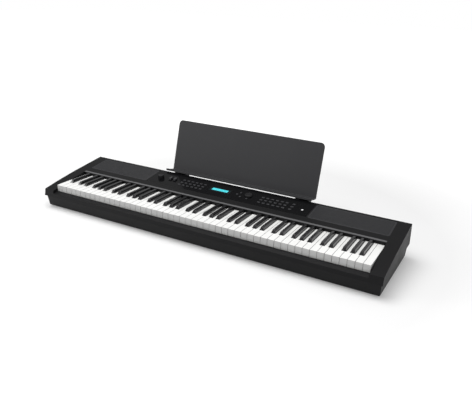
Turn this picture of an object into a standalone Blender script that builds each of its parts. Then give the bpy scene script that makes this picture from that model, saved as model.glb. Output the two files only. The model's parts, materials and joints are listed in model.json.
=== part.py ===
"""Digital piano with 88 keys, a sloped control panel and a lift-off music rest.

Lengths are in metres. Every piece is first placed in the key frame: x = 0 at the middle of the
keyboard, y = 0 at the white key fronts, z = 0 at the white key tops. One empty then carries that
frame to the bottom centre of the whole object.
"""

import math

import bmesh
import bpy
from mathutils import Matrix, Vector

MM = 0.001
GAP = 0.3 * MM

# Keyboard
WHITE_COUNT = 52
WHITE_PITCH = 23.5 * MM
KEY_SPLIT = 1.0 * MM
WHITE_FRONT_HEIGHT = 24.6 * MM
WHITE_FRONT_THICK = 5.0 * MM
KEY_THICK = 12.0 * MM
BLACK_FRONT_Y = 47.5 * MM
BLACK_BACK_Y = 147.5 * MM
BLACK_HEIGHT = 10.5 * MM
BLACK_BASE_HALF = 6.9 * MM
BLACK_TOP_HALF = 4.6 * MM
BLACK_FRONT_RUN = 7.5 * MM
BLACK_MARGIN = 1.1 * MM
BLACK_OFFSETS = {"C": -2.3 * MM, "D": 2.3 * MM, "F": -3.4 * MM, "G": 0.0, "A": 3.4 * MM}
ARM_END_Y = 182.0 * MM
SPINE_FRONT_Y = 188.0 * MM
SPINE_BACK_Y = 204.0 * MM
SPINE_THICK = 4.5 * MM
PIVOT_Y = 196.0 * MM

# Upper shell
HALF_WIDTH = 656.0 * MM
CHEEK_INNER = 613.0 * MM
LIP_Y = 150.7 * MM
LIP_Z = 12.5 * MM
REAR_TOP_Y = 291.8 * MM
REAR_TOP_Z = 31.7 * MM
CHEEK_FRONT_Y = -19.8 * MM
CHEEK_FRONT_Z = -17.7 * MM
SKIRT_FRONT_Y = -24.4 * MM
SKIRT_BACK_Y = 300.0 * MM
SKIRT_Z = -43.0 * MM
WALL = 3.0 * MM
SLIP_BACK_Y = -2.0 * MM
SLIP_TOP_Z = -24.6 * MM
SLIP_FRONT_Z = -30.0 * MM

# Lower shell
TRAY_HALF_TOP = 651.5 * MM
TRAY_HALF_FLOOR = 648.5 * MM
TRAY_FRONT_TOP_Y = -18.0 * MM
TRAY_FRONT_FLOOR_Y = -9.5 * MM
TRAY_BACK_TOP_Y = 294.0 * MM
TRAY_BACK_FLOOR_Y = 288.0 * MM
TRAY_RIM_Z = -38.0 * MM
FLOOR_Z = -86.5 * MM
FOOT_HEIGHT = 5.0 * MM
FOOT_RADIUS = 13.0 * MM
FOOT_X = 560.0 * MM
FOOT_Y = (22.0 * MM, 268.0 * MM)

# Sloped panel, in its own frame: u across, v up the slope from the lip, w square to it
SLOPE = math.atan2(REAR_TOP_Z - LIP_Z, REAR_TOP_Y - LIP_Y)
PANEL_HALF = 331.0 * MM
PANEL_FRONT_V = 38.0 * MM
PANEL_BACK_V = 138.5 * MM
PANEL_THICK = 2.2 * MM
DECK_THICK = 4.5 * MM
GRILLE_INNER = 335.0 * MM
GRILLE_OUTER = 612.0 * MM
GRILLE_FRONT_V = 37.0 * MM
GRILLE_BACK_V = 132.5 * MM
GRILLE_THICK = 2.0 * MM
BUTTON_SIZE = (11.0 * MM, 6.5 * MM)
BUTTON_RISE = 1.6 * MM
BUTTON_PITCH = 18.7 * MM
BUTTON_COLUMNS = 6
LEFT_BUTTONS_X = -194.0 * MM
RIGHT_BUTTONS_X = 142.5 * MM
LONE_COLUMN_X = 262.0 * MM
BUTTON_ROWS_V = (62.0 * MM, 81.0 * MM, 100.0 * MM)
MENU_BUTTONS = ((-3.0, 0.0), (-11.0, -15.0), (7.0, -28.0), (35.0, -31.0))
MENU_ORIGIN = (56.0 * MM, 99.0 * MM)
MENU_RADIUS = 4.0 * MM
KNOB_PLACE = (-292.0 * MM, 82.0 * MM)
KNOB_RADIUS = 11.5 * MM
KNOB_HEIGHT = 13.0 * MM
DIAL_PLACE = (88.0 * MM, 91.0 * MM)
DIAL_RADIUS = 14.5 * MM
DIAL_HEIGHT = 6.5 * MM
SLIDERS_X = (-250.0 * MM, -230.0 * MM)
SLIDER_V = 88.0 * MM
SLIDER_TRAVEL = 13.0 * MM
POWER_PLACE = (303.5 * MM, 74.0 * MM)
POWER_RADIUS = 6.5 * MM
DISPLAY = (-72.0 * MM, 14.0 * MM, 74.0 * MM, 100.5 * MM)
BOARD_W = -11.0 * MM

# Music rest, leaning back over two brackets behind the case
REST_BEND_Y = 336.0 * MM
REST_BEND_Z = 30.5 * MM
REST_TOP_Y = 386.0 * MM
REST_TOP_Z = 221.5 * MM
REST_LIP_Y = 287.2 * MM
REST_LIP_Z = 40.0 * MM
REST_HALF = 308.0 * MM
REST_THICK = 3.0 * MM
REST_CORNER = 16.0 * MM
REST_TONGUE = 34.0 * MM
REST_TONGUE_HALF = 18.0 * MM
BRACKET_X = 262.0 * MM
BRACKET_HALF = 27.0 * MM

LEAN = math.atan2(REST_TOP_Y - REST_BEND_Y, REST_TOP_Z - REST_BEND_Z)
BASE_Y = -(SKIRT_FRONT_Y + REST_TOP_Y + REST_THICK * math.cos(LEAN)) / 2
BASE_Z = FOOT_HEIGHT + GAP - FLOOR_Z

for thing in list(bpy.data.objects):
    bpy.data.objects.remove(thing, do_unlink=True)


def material(name, colour, roughness, metallic=0.0):
    made = bpy.data.materials.new(name)
    made.use_nodes = True
    shader = made.node_tree.nodes["Principled BSDF"]
    shader.inputs["Base Color"].default_value = (*colour, 1.0)
    shader.inputs["Roughness"].default_value = roughness
    shader.inputs["Metallic"].default_value = metallic
    return made


CASE = material("case_plastic", (0.022, 0.022, 0.024), 0.5)
GLOSS = material("panel_gloss", (0.008, 0.008, 0.009), 0.12)
GRILLE = material("grille_paint", (0.05, 0.05, 0.052), 0.55, 0.2)
WHITE = material("white_keys", (0.86, 0.86, 0.84), 0.2)
BLACK = material("black_keys", (0.012, 0.012, 0.013), 0.25)
BUTTON = material("button_plastic", (0.05, 0.05, 0.055), 0.45)
PEARL = material("power_cap", (0.8, 0.8, 0.8), 0.3)
SCREEN = material("display_glass", (0.1, 0.75, 0.85), 0.15)
REST = material("rest_paint", (0.12, 0.12, 0.125), 0.4, 0.3)
STEEL = material("steel", (0.5, 0.5, 0.5), 0.35, 1.0)
BOARD = material("circuit_board", (0.02, 0.13, 0.06), 0.5)
RUBBER = material("rubber", (0.02, 0.02, 0.02), 0.85)
FELT = material("felt", (0.25, 0.03, 0.03), 0.95)
CONE = material("speaker_cone", (0.03, 0.03, 0.03), 0.8)


def empty(name, place, parent=None):
    made = bpy.data.objects.new(name, None)
    bpy.context.scene.collection.objects.link(made)
    made.location = place
    made.parent = parent
    return made


KEY_FRAME = empty("key_frame", (0.0, BASE_Y, BASE_Z))
PANEL_FRAME = empty("panel_frame", (0.0, LIP_Y, LIP_Z), KEY_FRAME)
PANEL_FRAME.rotation_euler = (SLOPE, 0.0, 0.0)


def new_object(name, shape):
    mesh = bpy.data.meshes.new(name)
    bmesh.ops.recalc_face_normals(shape, faces=shape.faces)
    shape.to_mesh(mesh)
    shape.free()
    made = bpy.data.objects.new(name, mesh)
    bpy.context.scene.collection.objects.link(made)
    return made


def loft(name, rings):
    """A solid through rings of equally many points, closed at both ends."""
    shape = bmesh.new()
    made = [[shape.verts.new(point) for point in ring] for ring in rings]
    for near, far in zip(made, made[1:]):
        for i in range(len(near)):
            j = (i + 1) % len(near)
            shape.faces.new((near[i], near[j], far[j], far[i]))
    shape.faces.new(made[0])
    shape.faces.new(made[-1])
    return new_object(name, shape)


def prism(name, outline, low, high, across="z"):
    """A closed outline swept straight from low to high. Across x, the outline is (y, z)."""
    if across == "x":
        return loft(name, [[(level, a, b) for a, b in outline] for level in (low, high)])
    return loft(name, [[(a, b, level) for a, b in outline] for level in (low, high)])


def box(name, x, y, z):
    return prism(name, ((x[0], y[0]), (x[1], y[0]), (x[1], y[1]), (x[0], y[1])), *z)


def disc(name, centre, radius, low, high, sides=24):
    return turned(name, centre, ((radius, low), (radius, high)), sides)


def rounded(x, y, radius, steps=4, corners=(True, True, True, True)):
    """A rectangle's outline with round corners, from its low corner and anticlockwise."""
    centres = (
        (x[0], y[0], 1, 1, math.pi),
        (x[1], y[0], -1, 1, 1.5 * math.pi),
        (x[1], y[1], -1, -1, 0.0),
        (x[0], y[1], 1, -1, 0.5 * math.pi),
    )
    outline = []
    for (cx, cy, sx, sy, start), is_round in zip(centres, corners):
        if not is_round:
            outline.append((cx, cy))
            continue
        for i in range(steps + 1):
            angle = start + i * math.pi / 2 / steps
            outline.append(
                (
                    cx + sx * radius + radius * math.cos(angle),
                    cy + sy * radius + radius * math.sin(angle),
                )
            )
    return outline


def boolean(body, operation, tools):
    """Joins or cuts the tools in turn, and deletes them."""
    for tool in tools:
        modifier = body.modifiers.new("boolean", "BOOLEAN")
        modifier.operation = operation
        modifier.object = tool
        graph = bpy.context.evaluated_depsgraph_get()
        mesh = bpy.data.meshes.new_from_object(body.evaluated_get(graph))
        body.modifiers.clear()
        body.data = mesh
        bpy.data.objects.remove(tool, do_unlink=True)
    return body


def join(body, *tools):
    return boolean(body, "UNION", tools)


def cut(body, *tools):
    return boolean(body, "DIFFERENCE", tools)


def finish(body, look, parent=KEY_FRAME, pivot=(0.0, 0.0, 0.0)):
    """Gives the piece its material, its parent frame, and an origin on its joint's axis."""
    body.data.transform(Matrix.Translation(-Vector(pivot)))
    body.data.materials.clear()
    body.data.materials.append(look)
    body.data.shade_smooth()
    body.data.set_sharp_from_angle(angle=math.radians(35))
    body.location = pivot
    body.parent = parent
    return body


# Outline of the upper shell seen from the side, with the cheek's top slightly crowned
def side_profile(inset=0.0):
    crown = 1.2 * MM
    steps = 4
    points = [(SKIRT_FRONT_Y + inset, SKIRT_Z), (CHEEK_FRONT_Y + inset, CHEEK_FRONT_Z - inset)]
    for i in range(1, steps):
        t = i / steps
        y = CHEEK_FRONT_Y + (LIP_Y - CHEEK_FRONT_Y) * t
        z = CHEEK_FRONT_Z + (LIP_Z - CHEEK_FRONT_Z) * t + 4 * crown * t * (1 - t)
        points.append((y, z - inset))
    points.append((LIP_Y, LIP_Z - inset))
    points.append((REAR_TOP_Y - inset, REAR_TOP_Z - inset))
    points.append((SKIRT_BACK_Y - inset, SKIRT_Z))
    return points


def deck_z(y):
    return LIP_Z + (y - LIP_Y) * math.tan(SLOPE)


def panel_cutter(outline, low, high):
    """A cutter given in the panel's frame, moved into the key frame."""
    made = prism("cutter", outline, low, high)
    made.data.transform(Matrix.Translation((0.0, LIP_Y, LIP_Z)) @ Matrix.Rotation(SLOPE, 4, "X"))
    return made


def make_top_case():
    body = prism("top_case", side_profile(), -HALF_WIDTH, HALF_WIDTH, "x")
    low = SKIRT_Z - 5 * MM
    high = 60 * MM
    key_well = prism(
        "well",
        (
            (SLIP_BACK_Y, low),
            (LIP_Y + 8 * MM, low),
            (LIP_Y + 8 * MM, 1.2 * MM),
            (LIP_Y + 2 * MM, 1.2 * MM),
            (LIP_Y - 0.2 * MM, 4.5 * MM),
            (LIP_Y - 0.2 * MM, high),
            (SKIRT_FRONT_Y - 9 * MM, high),
            (SKIRT_FRONT_Y - 9 * MM, SLIP_FRONT_Z - 2.5 * MM),
            (SLIP_BACK_Y, SLIP_TOP_Z),
        ),
        -CHEEK_INNER,
        CHEEK_INNER,
        "x",
    )
    inner = side_profile(WALL)
    back = [(y, z) for y, z in inner if y > LIP_Y + 9 * MM]
    hollow_front = LIP_Y + 6 * MM
    rear_hollow = prism(
        "hollow",
        [
            (hollow_front, low),
            (hollow_front, deck_z(hollow_front) - DECK_THICK),
            (back[0][0], back[0][1] - DECK_THICK + WALL),
            (back[1][0], back[1][1]),
            (back[1][0], low),
        ],
        WALL - HALF_WIDTH,
        HALF_WIDTH - WALL,
        "x",
    )
    cutters = [key_well, rear_hollow]
    for side in (-1, 1):
        ends = sorted((side * (CHEEK_INNER + WALL), side * (HALF_WIDTH - WALL)))
        cheek = [p for p in inner if p[0] < LIP_Y]
        outline = [(SKIRT_FRONT_Y + WALL, low), *cheek, (LIP_Y + 8 * MM, LIP_Z - DECK_THICK)]
        outline.append((LIP_Y + 8 * MM, low))
        cutters.append(prism("cheek_hollow", outline, *ends, "x"))
    cutters.append(
        prism(
            "slip_hollow",
            (
                (SKIRT_FRONT_Y + WALL, low),
                (SLIP_BACK_Y - WALL, low),
                (SLIP_BACK_Y - WALL, SLIP_TOP_Z - 4.5 * MM),
                (SKIRT_FRONT_Y + WALL + 1.2 * MM, SLIP_FRONT_Z - 5.5 * MM),
            ),
            4 * MM - CHEEK_INNER,
            CHEEK_INNER - 4 * MM,
            "x",
        )
    )
    for side in (-1, 1):
        ends = sorted((side * (CHEEK_INNER - 8 * MM), side * (CHEEK_INNER + 5 * MM)))
        rim_room = (SKIRT_FRONT_Y + WALL, -8 * MM)
        cutters.append(box("rim_room", ends, rim_room, (low, TRAY_RIM_Z + 1 * MM)))
    for side in (-1, 1):
        ends = sorted((side * GRILLE_INNER, side * GRILLE_OUTER))
        seat = rounded(ends, (GRILLE_FRONT_V, GRILLE_BACK_V), 6 * MM)
        cutters.append(panel_cutter(seat, -GRILLE_THICK - GAP, 5 * MM))
        mid = side * (GRILLE_INNER + GRILLE_OUTER) / 2
        cutters.append(panel_cutter(speaker_outline(mid, 0.0), -12 * MM, 5 * MM))
    seat = rounded((-PANEL_HALF, PANEL_HALF), (PANEL_FRONT_V, PANEL_BACK_V), 2 * MM, 2)
    cutters.append(panel_cutter(seat, -PANEL_THICK - GAP, 5 * MM))
    cutters.append(
        panel_cutter(
            rounded((-312 * MM, 318 * MM), (48 * MM, 120 * MM), 2 * MM, 1), -14 * MM, 5 * MM
        )
    )
    for name, x, z, half_x, half_z in REAR_OPENINGS:
        cutters.append(
            box(
                name,
                (x - half_x, x + half_x),
                (SKIRT_BACK_Y - 20 * MM, SKIRT_BACK_Y + 10 * MM),
                (z - half_z, z + half_z),
            )
        )
    for side in (-1, 1):
        for z in BRACKET_SCREWS_Z:
            cutters.append(
                box(
                    "bracket_hole",
                    (side * BRACKET_X - 3 * MM, side * BRACKET_X + 3 * MM),
                    (SKIRT_BACK_Y - 25 * MM, SKIRT_BACK_Y + 10 * MM),
                    (z - 3 * MM, z + 3 * MM),
                )
            )
    finish(cut(body, *cutters), CASE)


def speaker_outline(centre_u, extra, sides=24):
    """An oval opening of 150 by 66 mm, or that much larger all round."""
    turn = 2 * math.pi / sides
    centre_v = (GRILLE_FRONT_V + GRILLE_BACK_V) / 2
    return [
        (
            centre_u + (75 * MM + extra) * math.cos(i * turn),
            centre_v + (33 * MM + extra) * math.sin(i * turn),
        )
        for i in range(sides)
    ]


def tray_ring(z, inset):
    """Corners of the lower shell's outline at one height."""
    t = (z - FLOOR_Z) / (SKIRT_Z - FLOOR_Z)
    half = TRAY_HALF_FLOOR + (TRAY_HALF_TOP - TRAY_HALF_FLOOR) * t - inset
    front = TRAY_FRONT_FLOOR_Y + (TRAY_FRONT_TOP_Y - TRAY_FRONT_FLOOR_Y) * t + inset
    back = TRAY_BACK_FLOOR_Y + (TRAY_BACK_TOP_Y - TRAY_BACK_FLOOR_Y) * t - inset
    return [(-half, front, z), (half, front, z), (half, back, z), (-half, back, z)]


def make_bottom_case():
    chamfer = 3.0 * MM
    outside = (tray_ring(FLOOR_Z, chamfer), tray_ring(FLOOR_Z + chamfer, 0.0), tray_ring(TRAY_RIM_Z, 0.0))
    body = loft("bottom_case", outside)
    cut(body, loft("hollow", (tray_ring(FLOOR_Z + WALL, WALL), tray_ring(TRAY_RIM_Z + 5 * MM, WALL))))
    for x in CHASSIS_RIBS_X:
        rib = box("rib", (x - 2 * MM, x + 2 * MM), (10 * MM, 262 * MM), (FLOOR_Z + 1 * MM, RIB_TOP_Z))
        join(body, rib)
    for x in (-628 * MM, 628 * MM):
        ends = (FLOOR_Z + 1 * MM, SKIRT_Z - 1 * MM)
        join(body, box("post", (x - 6 * MM, x + 6 * MM), (100 * MM, 112 * MM), ends))
    finish(body, CASE)


RIB_TOP_Z = -60.5 * MM
CHASSIS_RIBS_X = [i * 190 * MM for i in range(-3, 4)]
SHEET = 2.0 * MM
BRIDGE_TOP_Z = -33.0 * MM
SHELF_TOP_Z = -24.0 * MM


def sheet(name, path, thickness, half):
    """A bent sheet: a path of square corners in (y, z), thickened downwards and to the rear."""
    lower = []
    for i, (y, z) in enumerate(path):
        before = path[i - 1] if i else None
        after = path[i + 1] if i + 1 < len(path) else None
        falls = (before and before[0] == y and before[1] > z) or (after and after[0] == y and after[1] < z)
        rises = (before and before[0] == y and before[1] < z) or (after and after[0] == y and after[1] > z)
        shift = -thickness if falls else thickness if rises else 0.0
        lower.append((y + shift, z - thickness))
    return prism(name, [*path, *reversed(lower)], -half, half, "x")


def make_chassis():
    low = RIB_TOP_Z + SHEET + GAP
    path = (
        (2 * MM, -42 * MM),
        (26 * MM, -42 * MM),
        (26 * MM, low),
        (92 * MM, low),
        (92 * MM, BRIDGE_TOP_Z),
        (158 * MM, BRIDGE_TOP_Z),
        (158 * MM, low),
        (182 * MM, low),
        (182 * MM, SHELF_TOP_Z),
        (210 * MM, SHELF_TOP_Z),
        (210 * MM, low),
        (262 * MM, low),
    )
    finish(sheet("key_chassis", path, SHEET, 606 * MM), STEEL)
    finish(
        box("key_stop_felt", (-604 * MM, 604 * MM), (4 * MM, 22 * MM), (-42 * MM + GAP, -37 * MM)),
        FELT,
    )
    board_top = BRIDGE_TOP_Z + GAP + 1.6 * MM
    finish(
        box(
            "key_contact_board",
            (-604 * MM, 604 * MM),
            (96 * MM, 154 * MM),
            (BRIDGE_TOP_Z + GAP, board_top),
        ),
        BOARD,
    )
    outline = ((112 * MM, board_top + GAP), (138 * MM, board_top + GAP), (130 * MM, -20 * MM), (120 * MM, -20 * MM))
    finish(prism("contact_rubber_strip", outline, -602 * MM, 602 * MM, "x"), RUBBER)


LETTERS = "CDEFGAB"


def white_letter(index):
    """The lowest key is an A, and the letters repeat every seven white keys."""
    return LETTERS[(index + 5) % 7]


def white_edge(index):
    return (index - WHITE_COUNT / 2) * WHITE_PITCH


def black_centre(index):
    """Centre of the black key at the right edge of a white one, or None."""
    letter = white_letter(index)
    if index < 0 or index + 1 >= WHITE_COUNT or letter not in BLACK_OFFSETS:
        return None
    return white_edge(index + 1) + BLACK_OFFSETS[letter]


def tail_sides(index):
    """Left and right edge of a white key beside its black neighbours."""
    left = white_edge(index) + KEY_SPLIT / 2
    right = white_edge(index + 1) - KEY_SPLIT / 2
    if black_centre(index - 1) is not None:
        left = black_centre(index - 1) + BLACK_BASE_HALF + BLACK_MARGIN
    if black_centre(index) is not None:
        right = black_centre(index) - BLACK_BASE_HALF - BLACK_MARGIN
    return left, right


def heel(x, arm_bottom, level):
    """The step that takes an arm down to its comb's spine."""
    spine_bottom = SPINE_LEVELS[level]
    parts = [
        box(
            "tongue",
            (x - 4.5 * MM, x + 4.5 * MM),
            (ARM_END_Y - 6 * MM, SPINE_FRONT_Y + 2 * MM),
            (spine_bottom, spine_bottom + SPINE_THICK),
        )
    ]
    if arm_bottom > spine_bottom + SPINE_THICK - 1 * MM:
        parts.append(
            box(
                "heel",
                (x - 4.5 * MM, x + 4.5 * MM),
                (ARM_END_Y - 6 * MM, ARM_END_Y - 1 * MM),
                (spine_bottom + 1 * MM, arm_bottom + 1 * MM),
            )
        )
    return parts


SPINE_LEVELS = {"low": -22.0 * MM, "middle": -16.5 * MM, "high": -11.0 * MM}
COMB_LEVELS = {"outer": "low", "inner": "middle", "black": "high"}


def white_key(index, level):
    left = white_edge(index) + KEY_SPLIT / 2
    right = white_edge(index + 1) - KEY_SPLIT / 2
    tail_left, tail_right = tail_sides(index)
    outline = [(left, 0.0), (right, 0.0)]
    notch_y = BLACK_FRONT_Y - BLACK_MARGIN
    if tail_right < right:
        outline += [(right, notch_y), (tail_right, notch_y)]
    outline += [(tail_right, ARM_END_Y), (tail_left, ARM_END_Y)]
    if tail_left > left:
        outline += [(tail_left, notch_y), (left, notch_y)]
    key = prism("key", outline, -KEY_THICK, 0.0)
    front = box(
        "front",
        (left, right),
        (0.0, WHITE_FRONT_THICK),
        (-WHITE_FRONT_HEIGHT, -KEY_THICK + 1 * MM),
    )
    return join(key, front, *heel((tail_left + tail_right) / 2, -KEY_THICK, level))


def black_key(index, level):
    """A cap of rounded section on an arm that runs below the white tops."""
    x = black_centre(index)
    bottom = -KEY_THICK + 2 * MM
    rings = []
    sections = (
        (BLACK_FRONT_Y, 0.0),
        (BLACK_FRONT_Y + BLACK_FRONT_RUN * 0.72, 0.86),
        (BLACK_FRONT_Y + BLACK_FRONT_RUN * 1.15, 1.0),
        (BLACK_BACK_Y, 1.0),
    )
    for y, rise in sections:
        shoulder = BLACK_BASE_HALF + (BLACK_TOP_HALF - BLACK_BASE_HALF) * rise * 0.86
        crown = BLACK_BASE_HALF + (BLACK_TOP_HALF - 1.4 * MM - BLACK_BASE_HALF) * rise
        height = BLACK_HEIGHT * rise
        ring = (
            (-BLACK_BASE_HALF, bottom),
            (-BLACK_BASE_HALF, 0.0),
            (-shoulder, height * 0.86 + 0.2 * MM),
            (-crown, height + 0.4 * MM * (1 - rise)),
            (crown, height + 0.4 * MM * (1 - rise)),
            (shoulder, height * 0.86 + 0.2 * MM),
            (BLACK_BASE_HALF, 0.0),
            (BLACK_BASE_HALF, bottom),
        )
        rings.append([(x + a, y, b) for a, b in ring])
    cap = loft("cap", rings)
    arm = box(
        "arm",
        (x - BLACK_BASE_HALF + 0.2 * MM, x + BLACK_BASE_HALF - 0.2 * MM),
        (BLACK_BACK_Y - 20 * MM, ARM_END_Y),
        (bottom + 0.2 * MM, -1.2 * MM),
    )
    return join(cap, arm, *heel(x, bottom, level))


def make_keys():
    """Seven octaves, each of three combs that interleave, with the four end keys added to them."""
    for octave in range(7):
        first = 2 + 7 * octave
        whites = {LETTERS[i]: first + i for i in range(7)}
        outer = [whites[letter] for letter in "CEGB"]
        inner = [whites[letter] for letter in "DFA"]
        blacks = [whites[letter] for letter in "CDFGA"]
        left = white_edge(first)
        right = white_edge(first + 7)
        if octave == 0:
            outer.insert(0, 0)
            inner.insert(0, 1)
            blacks.insert(0, 0)
            left = white_edge(0)
        if octave == 6:
            inner.append(WHITE_COUNT - 1)
            right = white_edge(WHITE_COUNT)
        combs = (
            ("outer", outer, white_key, WHITE),
            ("inner", inner, white_key, WHITE),
            ("black", blacks, black_key, BLACK),
        )
        for kind, members, maker, look in combs:
            level = COMB_LEVELS[kind]
            z = SPINE_LEVELS[level]
            spine = box(
                f"keys_{kind}_{octave + 1}",
                (left + 0.6 * MM, right - 0.6 * MM),
                (SPINE_FRONT_Y, SPINE_BACK_Y),
                (z, z + SPINE_THICK),
            )
            join(spine, *[maker(index, level) for index in members])
            finish(spine, look, pivot=(0.0, PIVOT_Y, z + SPINE_THICK / 2))


def make_grilles():
    """Slotted plates, each flush in its seat."""
    for side, name in ((-1, "speaker_grille_left"), (1, "speaker_grille_right")):
        ends = sorted((side * (GRILLE_INNER + GAP), side * (GRILLE_OUTER - GAP)))
        outline = rounded(ends, (GRILLE_FRONT_V + GAP, GRILLE_BACK_V - GAP), 5.7 * MM)
        plate = prism(name, outline, -GRILLE_THICK, 0.0)
        mid = sum(ends) / 2
        for i in range(-11, 12):
            u = mid + i * 11 * MM
            slot = box(
                "slot",
                (u - 1.2 * MM, u + 1.2 * MM),
                (GRILLE_FRONT_V + 9 * MM, GRILLE_BACK_V - 9 * MM),
                (-GRILLE_THICK - 1 * MM, 1 * MM),
            )
            cut(plate, slot)
        finish(plate, GRILLE, PANEL_FRAME)


def make_speakers():
    """Oval drivers under the deck: a flange, a basket and a magnet."""
    for side, name in ((-1, "speaker_left"), (1, "speaker_right")):
        mid = side * (GRILLE_INNER + GRILLE_OUTER) / 2
        top = -DECK_THICK - 0.8 * MM
        mid_v = (GRILLE_FRONT_V + GRILLE_BACK_V) / 2
        flange = prism(name, speaker_outline(mid, 6 * MM), top - 2.5 * MM, top)
        basket = prism("basket", speaker_outline(mid, -10 * MM), top - 13 * MM, top - 1 * MM)
        magnet = disc("magnet", (mid, mid_v + 14 * MM), 23 * MM, top - 24 * MM, top - 12 * MM)
        dish = prism("dish", speaker_outline(mid, -14 * MM), top - 9 * MM, top + 5 * MM)
        finish(cut(join(flange, basket, magnet), dish), CONE, PANEL_FRAME)


def button_centres(side):
    start = LEFT_BUTTONS_X if side == "left" else RIGHT_BUTTONS_X
    centres = [start + i * BUTTON_PITCH for i in range(BUTTON_COLUMNS)]
    return centres + [LONE_COLUMN_X] if side == "right" else centres


def make_control_panel():
    low = -PANEL_THICK
    outline = rounded(
        (-PANEL_HALF + GAP, PANEL_HALF - GAP), (PANEL_FRONT_V + GAP, PANEL_BACK_V - GAP), 1.7 * MM, 2
    )
    panel = prism("control_panel", outline, low, 0.0)
    through = (low - 1 * MM, 1 * MM)
    half_u, half_v = (size / 2 + 0.4 * MM for size in BUTTON_SIZE)
    holes = []
    for side in ("left", "right"):
        for u in button_centres(side):
            for v in BUTTON_ROWS_V:
                holes.append(box("hole", (u - half_u, u + half_u), (v - half_v, v + half_v), through))
    for du, dv in MENU_BUTTONS:
        place = (MENU_ORIGIN[0] + du * MM, MENU_ORIGIN[1] + dv * MM)
        holes.append(disc("hole", place, MENU_RADIUS + 0.4 * MM, *through, 12))
    for u in SLIDERS_X:
        reach = SLIDER_TRAVEL + 3.4 * MM
        holes.append(box("slot", (u - 1.6 * MM, u + 1.6 * MM), (SLIDER_V - reach, SLIDER_V + reach), through))
    for place in (KNOB_PLACE, DIAL_PLACE):
        holes.append(disc("hole", place, 3.6 * MM, *through, 12))
    holes.append(disc("hole", POWER_PLACE, POWER_RADIUS + 0.4 * MM, *through, 16))
    left, right, front, back = DISPLAY
    holes.append(box("window", (left, right), (front, back), through))
    finish(cut(panel, *holes), GLOSS, PANEL_FRAME)

    finish(
        box(
            "display_window",
            (left + GAP, right - GAP),
            (front + GAP, back - GAP),
            (low + 0.4 * MM, -0.3 * MM),
        ),
        SCREEN,
        PANEL_FRAME,
    )
    finish(
        box(
            "display_module",
            (left + 3 * MM, right - 3 * MM),
            (front + 2 * MM, back - 2 * MM),
            (BOARD_W + 1.6 * MM + GAP, low - 0.3 * MM),
        ),
        BOARD,
        PANEL_FRAME,
    )
    finish(
        box(
            "panel_board",
            (-308 * MM, 314 * MM),
            (51 * MM, 117 * MM),
            (BOARD_W, BOARD_W + 1.6 * MM),
        ),
        BOARD,
        PANEL_FRAME,
    )


BUTTON_TRAVEL = 1.0 * MM
WEB_TOP = -PANEL_THICK - 0.4 * MM
WEB_THICK = 1.4 * MM


def make_buttons():
    """Each row of buttons is moulded on one web, which bends when a button is pressed."""
    for side in ("left", "right"):
        centres = button_centres(side)
        for row, v in enumerate(BUTTON_ROWS_V, 1):
            body = box(
                f"buttons_{side}_{row}",
                (centres[0] - 8 * MM, centres[-1] + 8 * MM),
                (v - 5 * MM, v + 5 * MM),
                (WEB_TOP - WEB_THICK, WEB_TOP),
            )
            for u in centres:
                half_u, half_v = (size / 2 for size in BUTTON_SIZE)
                cap = rounded((u - half_u, u + half_u), (v - half_v, v + half_v), 1.5 * MM, 2)
                join(body, prism("cap", cap, WEB_TOP - 0.7 * MM, BUTTON_RISE))
            finish(body, BUTTON, PANEL_FRAME, (sum(centres) / len(centres), v, 0.0))

    places = [(MENU_ORIGIN[0] + du * MM, MENU_ORIGIN[1] + dv * MM) for du, dv in MENU_BUTTONS]
    web = (WEB_TOP - WEB_THICK, WEB_TOP)
    body = disc("menu_buttons", places[0], MENU_RADIUS, WEB_TOP - 0.7 * MM, BUTTON_RISE, 12)
    for place in places[1:]:
        join(body, disc("cap", place, MENU_RADIUS, WEB_TOP - 0.7 * MM, BUTTON_RISE, 12))
    left = min(u for u, _ in places) - 3 * MM
    right = max(u for u, _ in places) + 3 * MM
    top = max(v for _, v in places) + 3 * MM
    foot = min(v for _, v in places) - 3 * MM
    join(body, box("stem", (left, left + 19 * MM), (foot, top), web))
    join(body, box("branch", (left, right), (foot, foot + 7 * MM), web))
    finish(body, BUTTON, PANEL_FRAME, (*places[0], 0.0))

    power = disc("power_button", POWER_PLACE, POWER_RADIUS, WEB_TOP - 0.7 * MM, 2.2 * MM, 20)
    join(power, disc("collar", POWER_PLACE, POWER_RADIUS + 2 * MM, WEB_TOP - WEB_THICK, WEB_TOP, 20))
    finish(power, PEARL, PANEL_FRAME, (*POWER_PLACE, 0.0))


def turned(name, place, profile, sides=28):
    """A solid of rings (radius, w) about an axis square to the panel."""
    angles = [2 * math.pi * i / sides for i in range(sides)]
    rings = [
        [(place[0] + radius * math.cos(a), place[1] + radius * math.sin(a), w) for a in angles]
        for radius, w in profile
    ]
    return loft(name, rings)


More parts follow.
